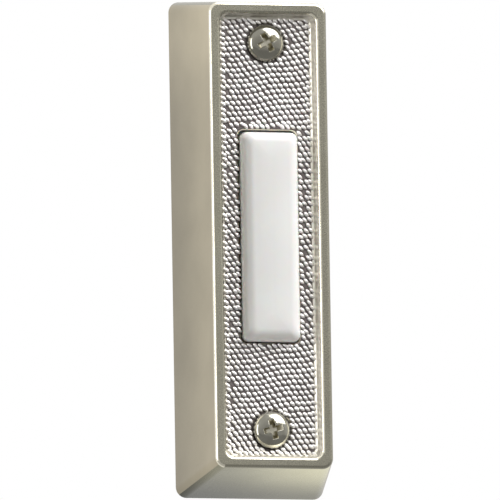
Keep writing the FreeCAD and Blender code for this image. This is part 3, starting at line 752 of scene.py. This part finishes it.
def makeButton():
    size, edge = bar["size"], bar["edge"]
    shoulder = bar["front"] + bar["crown"] + edge
    cap = taperedBlock(
        "barButton", (bar["back"], *size), (shoulder, *size), bar["corner"], segments=8, at=bar["at"]
    )
    # the edge rolls in by a quarter round, and then the front rises a little to its middle
    stations = []
    for step in range(1, bar["edgeSteps"] + 1):
        angle = step / bar["edgeSteps"] * math.pi / 2
        stations.append((edge * (1 - math.cos(angle)), edge * math.sin(angle)))
    flat = size[0] / 2 - edge
    for share in bar["crownShares"]:
        stations.append((edge + flat * share, edge + bar["crown"] * (1 - (1 - share) ** 2)))
    startEdit(cap)
    pickFaces(facesFront)
    drawn, out = 0.0, 0.0
    for nextDrawn, nextOut in stations:
        bpy.ops.mesh.extrude_region_move(TRANSFORM_OT_translate={"value": (0, out - nextOut, 0)})
        across, up = ((side - 2 * nextDrawn) / (side - 2 * drawn) for side in size)
        bpy.ops.transform.resize(
            value=(across, 1, up), center_override=(bar["at"][0], shoulder - nextOut, bar["at"][1])
        )
        drawn, out = nextDrawn, nextOut
    endEdit()

    flange = taperedBlock(
        "flange", (bar["back"], *bar["flange"]), (bar["flangeFront"], *bar["flange"]), bar["corner"]
    )
    combine(cap, flange, "UNION")
    hollow = taperedBlock(
        "hollow", (bar["back"] + cutPast, *bar["hollow"]), (bar["roof"], *bar["hollow"]),
        bar["hollowCorner"], segments=4,
    )
    combine(cap, hollow, "DIFFERENCE")
    for side in (1, -1):
        rib = taperedBlock(
            "rib", (bar["ribBack"], *bar["rib"]), (bar["roof"] - sunkIn, *bar["rib"]),
            at=(0, side * bar["ribAt"]),
        )
        combine(cap, rib, "UNION")
    plunger = taperedBlock(
        "plunger", (bar["plungerBack"], *(side - bar["plungerTaper"] for side in bar["plunger"])),
        (bar["back"] - sunkIn, *bar["plunger"]), bar["plungerCorner"], segments=3,
        at=(bar["plungerAt"], 0),
    )
    combine(cap, plunger, "UNION")
    softenShading(cap)
    dress(cap, "buttonWhite")
    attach(cap, "button")
    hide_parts("button")


makeButton()
print("button done")


# mounting screws
screw = {
    "seat": -13.73 * mm, "top": -15.48 * mm, "head": 2.65 * mm, "edge": 0.45 * mm,
    "underHead": (0.12 * mm, 0.96), "domePower": 0.8, "domeSteps": 8, "domeEnd": 0.05,
    "neck": 1.15 * mm, "neckInto": 0.2 * mm, "neckTaper": 0.3 * mm,
    "thread": 1.42 * mm, "tip": 11.67 * mm, "threadStart": -5.2 * mm, "root": 0.99 * mm,
    "point": 3.2 * mm, "pitch": 1.25 * mm, "threadHalf": 0.3 * mm, "stepsPerTurn": 18,
    "thinnest": 0.03,  # share of its size that is left at the point
    "crossLength": 3.6 * mm, "crossWidth": 0.95 * mm, "crossDepth": 1.25 * mm,
    "crossAbove": 0.6 * mm, "crossFoot": (0.42, 0.5), "turns": (28, 14),
    "recessEdge": 0.09 * mm, "sharpEdge": 35, "edgeReach": 0.75, "edgeSlack": 0.05 * mm,
    "crossReach": 0.72, "crossSunk": 0.12 * mm, "bevelFacing": -0.85,
}
domeRise = screw["seat"] - screw["top"] - screw["edge"]


def domeAt(reach):
    # depth of the head's dome at this distance from the screw's middle
    share = min(reach / screw["head"], 1) ** (1 / screw["domePower"])
    return screw["seat"] - screw["edge"] - domeRise * math.sqrt(1 - share ** 2)


def recessEdge(edge, z):
    # an edge where the cross meets the dome
    if len(edge.link_faces) != 2 or edge.calc_face_angle() < math.radians(screw["sharpEdge"]):
        return False
    for vert in edge.verts:
        reach = math.hypot(vert.co.x, vert.co.z - z)
        if reach > screw["head"] * screw["edgeReach"]:
            return False
        if abs(vert.co.y - domeAt(reach)) > screw["edgeSlack"]:
            return False
    return True


def windThread(name, z):
    # a diamond section wound round the shank, which thins to nothing at the point
    length = screw["tip"] - screw["threadStart"]
    clearSelection()
    depth, half = screw["thread"] - screw["root"], screw["threadHalf"]
    bpy.ops.mesh.primitive_circle_add(vertices=4, radius=depth, location=(screw["root"], 0, 0))
    thread = settle(name)
    startEdit(thread)
    bpy.ops.mesh.select_all(action="SELECT")
    bpy.ops.transform.resize(value=(1, half / depth, 1), center_override=(screw["root"], 0, 0))
    endEdit()
    wind = thread.modifiers.new("wind", "SCREW")
    wind.axis = "Y"
    wind.angle = 2 * math.pi * length / screw["pitch"]
    wind.screw_offset = length
    wind.steps = wind.render_steps = int(screw["stepsPerTurn"] * length / screw["pitch"])
    wind.use_smooth_shade = False
    bpy.ops.object.modifier_apply(modifier="wind")
    startEdit(thread)
    bpy.ops.mesh.select_all(action="SELECT")
    bpy.ops.mesh.fill_holes(sides=4)
    bpy.ops.mesh.normals_make_consistent(inside=False)
    endEdit()
    for vertex in thread.data.vertices:
        x, y, up = vertex.co
        reach = math.hypot(x, up)
        grown = min(max(y, 0) / screw["pitch"], 1)
        left = min(max((length - y) / screw["point"], screw["thinnest"]), 1)
        slim = (screw["root"] + (reach - screw["root"]) * grown) * left / reach
        vertex.co = (x * slim, min(y + screw["threadStart"], screw["tip"]), up * slim + z)
    return thread


def cutCross(head, z, turn):
    depth = screw["crossDepth"] + screw["crossAbove"]
    for angle in (turn, turn + 90):
        clearSelection()
        bpy.ops.mesh.primitive_cube_add(
            size=1,
            location=(0, screw["top"] + screw["crossDepth"] - depth / 2, z),
            scale=(screw["crossLength"], depth, screw["crossWidth"]),
        )
        wing = settle("wing")
        startEdit(wing)
        pickFaces(lambda face: face.normal.y > squareOn)
        shorter, thinner = screw["crossFoot"]
        bpy.ops.transform.resize(value=(shorter, 1, thinner), center_override=(0, 0, z))
        bpy.ops.mesh.select_all(action="SELECT")
        bpy.ops.transform.rotate(
            value=math.radians(angle), orient_axis="Y", center_override=(0, 0, z)
        )
        endEdit()
        combine(head, wing, "DIFFERENCE")


def makeMountingScrew(name, node, z, turn):
    half, seat = screw["head"], screw["seat"]
    under, narrower = screw["underHead"]
    stations = [(seat, half * narrower), (seat - under, half), (seat - screw["edge"], half)]
    for step in range(1, screw["domeSteps"] + 1):
        angle = step / screw["domeSteps"] * math.pi / 2
        stations.append((
            seat - screw["edge"] - domeRise * math.sin(angle),
            half * max(math.cos(angle) ** screw["domePower"], screw["domeEnd"]),
        ))
    head = turnedStack(name, stations, segments=40, z=z)
    cutCross(head, z, turn)
    shank = turnedStack(name + "Shank", [
        (seat - screw["neckInto"], screw["neck"]), (screw["threadStart"], screw["neck"]),
        (screw["threadStart"] + screw["neckTaper"], screw["root"]),
        (screw["tip"] - screw["point"], screw["root"]), (screw["tip"], 0),
    ], segments=24, z=z)
    startEdit(head)
    pickEdges(lambda edge: recessEdge(edge, z))
    bpy.ops.mesh.bevel(offset=screw["recessEdge"], segments=2, affect="EDGES", clamp_overlap=True)
    endEdit()
    softenShading(head, degrees=40)
    softenShading(shank, degrees=40)
    dress(head, "chrome", "screwRecess", "paintedHighlightEdge")
    # painted light in the cross recess, and a painted highlight on the bevels round it
    for face in head.data.polygons:
        reach = math.hypot(face.center.x, face.center.z - z)
        if reach < half * screw["crossReach"] and face.center.y < seat - screw["edgeSlack"]:
            if face.center.y - domeAt(reach) > screw["crossSunk"]:
                face.material_index = 1
            elif face.normal.y > screw["bevelFacing"]:
                face.material_index = 2
    thread = windThread(name + "Thread", z)
    softenShading(thread, degrees=40)
    for part in (shank, thread):
        dress(part, "chrome")
    joinInto(head, [shank, thread])
    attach(head, "case")
    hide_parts(node)


makeMountingScrew("upperMountingScrew", "mounting_screw_upper", case["screwAt"], screw["turns"][0])
makeMountingScrew("lowerMountingScrew", "mounting_screw_lower", -case["screwAt"], screw["turns"][1])
print("mounting screws done")


# insulating base: plate, spring spigots, lamp rest, holes and the bay for the resistor
base = {
    "size": (15.778 * mm, 49.1 * mm), "back": -5.0 * mm, "front": -6.8 * mm, "corner": 1.0 * mm,
    "edge": 0.15 * mm,
    "spigot": 1.8 * mm, "spigotTip": 0.9, "spigotCorner": 0.2 * mm, "spigotAt": 7.765 * mm,
    "spigotFront": -8.0 * mm,
    "rest": (1.0 * mm, 3.0 * mm), "restCorner": 0.15 * mm, "restAt": -1.1 * mm,
    "restFront": -7.8 * mm,
    "holes": [
        # across, up or down, radius
        (0.0, 18.25 * mm, 1.85 * mm), (0.0, 23.05 * mm, 1.1 * mm), (-4.4 * mm, 11.5 * mm, 0.9 * mm),
    ],
    "bay": (2.1 * mm, 4.3 * mm), "bayAt": (4.6 * mm, 8.375 * mm), "bayFloor": -6.4 * mm,
}


def makeBase():
    back, front = base["back"], base["front"]
    plate = taperedBlock(
        "insulatingBase", (back, *base["size"]), (front, *base["size"]), base["corner"]
    )
    startEdit(plate)
    pickEdges(lambda edge: atDepth(edge, back) or atDepth(edge, front))
    bpy.ops.mesh.bevel(offset=base["edge"], segments=2, affect="EDGES")
    endEdit()
    wide, tip = base["spigot"], base["spigot"] * base["spigotTip"]
    for side in (1, -1):
        spigot = taperedBlock(
            "spigot", (front + sunkIn, wide, wide), (base["spigotFront"], tip, tip),
            base["spigotCorner"], segments=3, at=(0, side * base["spigotAt"]),
        )
        combine(plate, spigot, "UNION")
    rest = taperedBlock(
        "rest", (front + sunkIn, *base["rest"]), (base["restFront"], *base["rest"]),
        base["restCorner"], segments=3, at=(base["restAt"], 0),
    )
    combine(plate, rest, "UNION")
    for x, z, radius in base["holes"]:
        for side in (1, -1):
            stations = [(back + cutPast, radius), (front - cutPast, radius)]
            combine(plate, turnedStack("hole", stations, x=x, z=side * z), "DIFFERENCE")
    bay = taperedBlock(
        "bay", (base["bayFloor"], *base["bay"]), (front - cutPast, *base["bay"]), at=base["bayAt"]
    )
    combine(plate, bay, "DIFFERENCE")
    softenShading(plate)
    dress(plate, "basePlastic")
    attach(plate, "case")
    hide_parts("switch_base")


makeBase()
print("base done")


# return springs: round wire with closed end turns
spring = {
    "mean": 1.625 * mm, "wire": 0.35 * mm, "back": -7.025 * mm, "front": -14.755 * mm,
    "turns": 5.5, "endTurns": 0.9, "closePitch": 1.06, "sides": 10, "stepsPerTurn": 24,
    "at": 7.765 * mm,
}


def makeSpring(name, node, z):
    reach, turns, sides = spring["back"] - spring["front"], spring["turns"], spring["sides"]
    clearSelection()
    bpy.ops.mesh.primitive_circle_add(
        vertices=sides, radius=spring["wire"] / 2, location=(spring["mean"], 0, 0)
    )
    coil = settle(name)
    wind = coil.modifiers.new("wind", "SCREW")
    wind.axis = "Y"
    wind.angle = 2 * math.pi * turns
    wind.screw_offset = reach
    wind.steps = wind.render_steps = int(turns * spring["stepsPerTurn"])
    bpy.ops.object.modifier_apply(modifier="wind")
    startEdit(coil)
    bpy.ops.mesh.select_all(action="SELECT")
    bpy.ops.mesh.fill_holes(sides=sides)
    endEdit()
    # the wire lies close at both ends, and the turns between them share the rest of the height
    ends, close = spring["endTurns"], spring["wire"] * spring["closePitch"]
    openPitch = (reach - 2 * ends * close) / (turns - 2 * ends)
    pitch = reach / turns
    second = coil.data.vertices[sides].co
    angleSign = 1 if second.z * second.x >= 0 else -1
    for vertex in coil.data.vertices:
        x, y, up = vertex.co
        part = angleSign * math.atan2(up, x) / (2 * math.pi)
        turn = min(max(round(y / pitch - part) + part, 0), turns)
        first, last = min(turn, ends), max(turn - (turns - ends), 0)
        height = (first + last) * close + (turn - first - last) * openPitch
        vertex.co = (x, spring["back"] - (height + y - turn * pitch), up + z)
    startEdit(coil)
    bpy.ops.mesh.select_all(action="SELECT")
    bpy.ops.mesh.normals_make_consistent(inside=False)
    endEdit()
    softenShading(coil, degrees=50, weighted=False)
    dress(coil, "springSteel")
    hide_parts(node)
    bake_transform(coil)


makeSpring("upperSpring", "return_spring_upper", spring["at"])
makeSpring("lowerSpring", "return_spring_lower", -spring["at"])
print("springs done")


# the contact leaf and its point, as copies of the CAD pieces; the leaf gets cuts across where it
# bends
leaf = {
    "bendStart": 9.4 * mm, "bendEnd": -3.7 * mm, "cuts": 14, "cutEnd": -1.8 * mm,
    "across": -4.4 * mm, "depth": -8 * mm,
}


def bendingCopy(name, node, finish, cuts=0):
    # a copy of the CAD piece, with its doubles merged and cuts across where it bends
    start, end = leaf["bendStart"], leaf["bendEnd"]
    onlyActive(frame["nodes"][node])
    bpy.ops.object.duplicate()
    bpy.ops.object.parent_clear(type="CLEAR_KEEP_TRANSFORM")
    piece = settle(name)
    for group in list(piece.vertex_groups):
        piece.vertex_groups.remove(group)
    startEdit(piece)
    bpy.ops.mesh.select_all(action="SELECT")
    bpy.ops.mesh.remove_doubles(threshold=hair / 2)
    for index in range(cuts):
        bpy.ops.mesh.select_all(action="SELECT")
        z = start + (index + 0.5) / cuts * (leaf["cutEnd"] - start)
        bpy.ops.mesh.bisect(plane_co=(0, 0, z), plane_no=(0, 0, 1))
    endEdit()
    softenShading(piece, degrees=25)
    dress(piece, finish)
    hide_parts(node)
    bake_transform(piece)


bendingCopy("contactLeaf", "contact_leaf", "brass", leaf["cuts"])
bendingCopy("leafPoint", "leaf_contact_point", "silver")
print("contact leaf done")


# the pieces whose shape is right already keep it, with their own finish
nodeFinish = {
    "contact_strip": "brass", "strip_contact_point": "silver", "leaf_rivet": "brass",
    "strip_rivet": "brass", "lamp": "lampLens", "lamp_lead_upper": "tinnedWire",
    "lamp_lead_lower": "tinnedWire", "resistor_lead": "tinnedWire",
    "lamp_resistor": "resistorCoat", "terminal_nut_upper": "brass",
    "terminal_nut_lower": "brass", "terminal_washer_upper": "brass",
    "terminal_washer_lower": "brass", "terminal_screw_upper": "brass",
    "terminal_screw_lower": "brass", "base_screw_upper": "screwZinc",
    "base_screw_lower": "screwZinc",
}
for node, finish in nodeFinish.items():
    dress(frame["nodes"][node], finish)
print("inner pieces dressed")


# floor, light and camera
studio = {
    "floorHeight": -0.62, "floorSize": 6.0, "floorColour": (0.8, 0.8, 0.79), "floorRoughness": 0.7,
    "around": 0.17, "aroundColour": (1.0, 0.95, 0.82),
    # polished metal sees white all round, but a darker room low in front and a floor darker there
    "darkSide": (0.0, -0.8, -0.6), "darkStops": (0.2, 0.7), "darkest": 0.66,
    "floorFrontToBack": (-0.3, 0.5), "floorDarkest": 0.462,
    "lamps": [
        # name, degrees to the right of the front, degrees up, distance, width, height, watts,
        # and whether it lights plain surfaces or only shows in polished ones
        ("rightSoftbox", 44, 46, 1.1, 0.9, 0.9, 17.2, True),
        ("leftSoftbox", -66, 4, 1.2, 0.24, 0.9, 5.2, False),
        ("topSoftbox", 60, 84, 1.1, 0.5, 0.5, 1.4, True),
    ],
}
camera = {
    "distance": 2.899, "left": 13.064, "below": 8.037, "roll": 0.920,
    "frameWidth": 0.069787, "aimRight": 0.000597, "aimUp": 0.000107, "sensor": 36, "sees": 20,
}


def makeFloor():
    clearSelection()
    bpy.ops.mesh.primitive_plane_add(size=studio["floorSize"], location=(0, 0, studio["floorHeight"]))
    floor = settle("floor")
    finish, nodes, links, shader = newFinish("paleFloor")
    shader.inputs["Base Color"].default_value = (*studio["floorColour"], 1)
    shader.inputs["Roughness"].default_value = studio["floorRoughness"]
    place = nodes.new("ShaderNodeTexCoord")
    depth = alongAxis(nodes, links, place.outputs["Object"], "Y")
    glow = addRange(nodes, links, depth, studio["floorFrontToBack"], (studio["floorDarkest"], 1))
    mirrored = nodes.new("ShaderNodeEmission")
    links.new(glow, mirrored.inputs["Strength"])
    path = nodes.new("ShaderNodeLightPath")
    mixed = mixShaders(nodes, links, path.outputs["Is Glossy Ray"], shader, mirrored)
    links.new(mixed.outputs[0], nodes["Material Output"].inputs["Surface"])
    made["paleFloor"] = finish
    dress(floor, "paleFloor")


def makeWorld():
    world = bpy.data.worlds.new("studioWorld")
    bpy.context.scene.world = world
    world.use_nodes = True
    nodes, links = world.node_tree.nodes, world.node_tree.links
    around = nodes["Background"]
    seen = nodes.new("ShaderNodeBackground")
    mirrored = nodes.new("ShaderNodeBackground")
    around.inputs["Color"].default_value = (*studio["aroundColour"], 1)
    around.inputs["Strength"].default_value = studio["around"]
    for white in (seen, mirrored):
        white.inputs["Color"].default_value = (1, 1, 1, 1)
        white.inputs["Strength"].default_value = 1

    place = nodes.new("ShaderNodeTexCoord")
    towards = nodes.new("ShaderNodeVectorMath")
    towards.operation = "DOT_PRODUCT"
    towards.inputs[1].default_value = studio["darkSide"]
    links.new(place.outputs["Generated"], towards.inputs[0])
    strength = addRange(
        nodes, links, towards.outputs["Value"], studio["darkStops"], (1, studio["darkest"])
    )
    links.new(strength, mirrored.inputs["Strength"])

    path = nodes.new("ShaderNodeLightPath")
    either = nodes.new("ShaderNodeMath")
    either.operation = "MAXIMUM"
    links.new(path.outputs["Is Glossy Ray"], either.inputs[0])
    links.new(path.outputs["Is Transmission Ray"], either.inputs[1])
    inMetal = mixShaders(nodes, links, either.outputs[0], around, mirrored)
    mixed = mixShaders(nodes, links, path.outputs["Is Camera Ray"], inMetal, seen)
    links.new(mixed.outputs[0], nodes["World Output"].inputs["Surface"])


def makeLamps():
    for name, right, up, distance, width, height, power, plain in studio["lamps"]:
        turn, lift = math.radians(right), math.radians(up)
        flat = math.cos(lift)
        towards = Vector((math.sin(turn) * flat, -math.cos(turn) * flat, math.sin(lift)))
        clearSelection()
        bpy.ops.object.light_add(type="AREA", location=towards * distance)
        lamp = bpy.context.object
        lamp.name = name
        lamp.data.shape = "RECTANGLE"
        lamp.data.size = width
        lamp.data.size_y = height
        lamp.data.energy = power
        lamp.rotation_euler = towards.to_track_quat("Z", "Y").to_euler()
        lamp.visible_camera = False
        lamp.visible_diffuse = plain


def makeCamera():
    # out points from the part to the camera; right and up are the picture's own directions
    left, below, roll = (math.radians(camera[key]) for key in ("left", "below", "roll"))
    flat = math.cos(below)
    out = Vector((-math.sin(left) * flat, -math.cos(left) * flat, -math.sin(below)))
    flatRight = Vector((math.cos(left), -math.sin(left), 0))
    flatUp = out.cross(flatRight)
    right = math.cos(roll) * flatRight - math.sin(roll) * flatUp
    up = math.sin(roll) * flatRight + math.cos(roll) * flatUp
    aim = right * camera["aimRight"] + up * camera["aimUp"]
    clearSelection()
    bpy.ops.object.camera_add()
    view = bpy.context.object
    view.name = "photoCamera"
    axes = Matrix((right, up, out)).transposed().to_4x4()
    view.matrix_world = Matrix.Translation(aim + out * camera["distance"]) @ axes
    view.data.sensor_width = camera["sensor"]
    view.data.lens = camera["sensor"] * camera["distance"] / camera["frameWidth"]
    view.data.clip_end = camera["sees"]
    bpy.context.scene.camera = view


makeFloor()
makeWorld()
makeLamps()
makeCamera()
bpy.context.scene.view_settings.view_transform = "Standard"
print("studio ready")
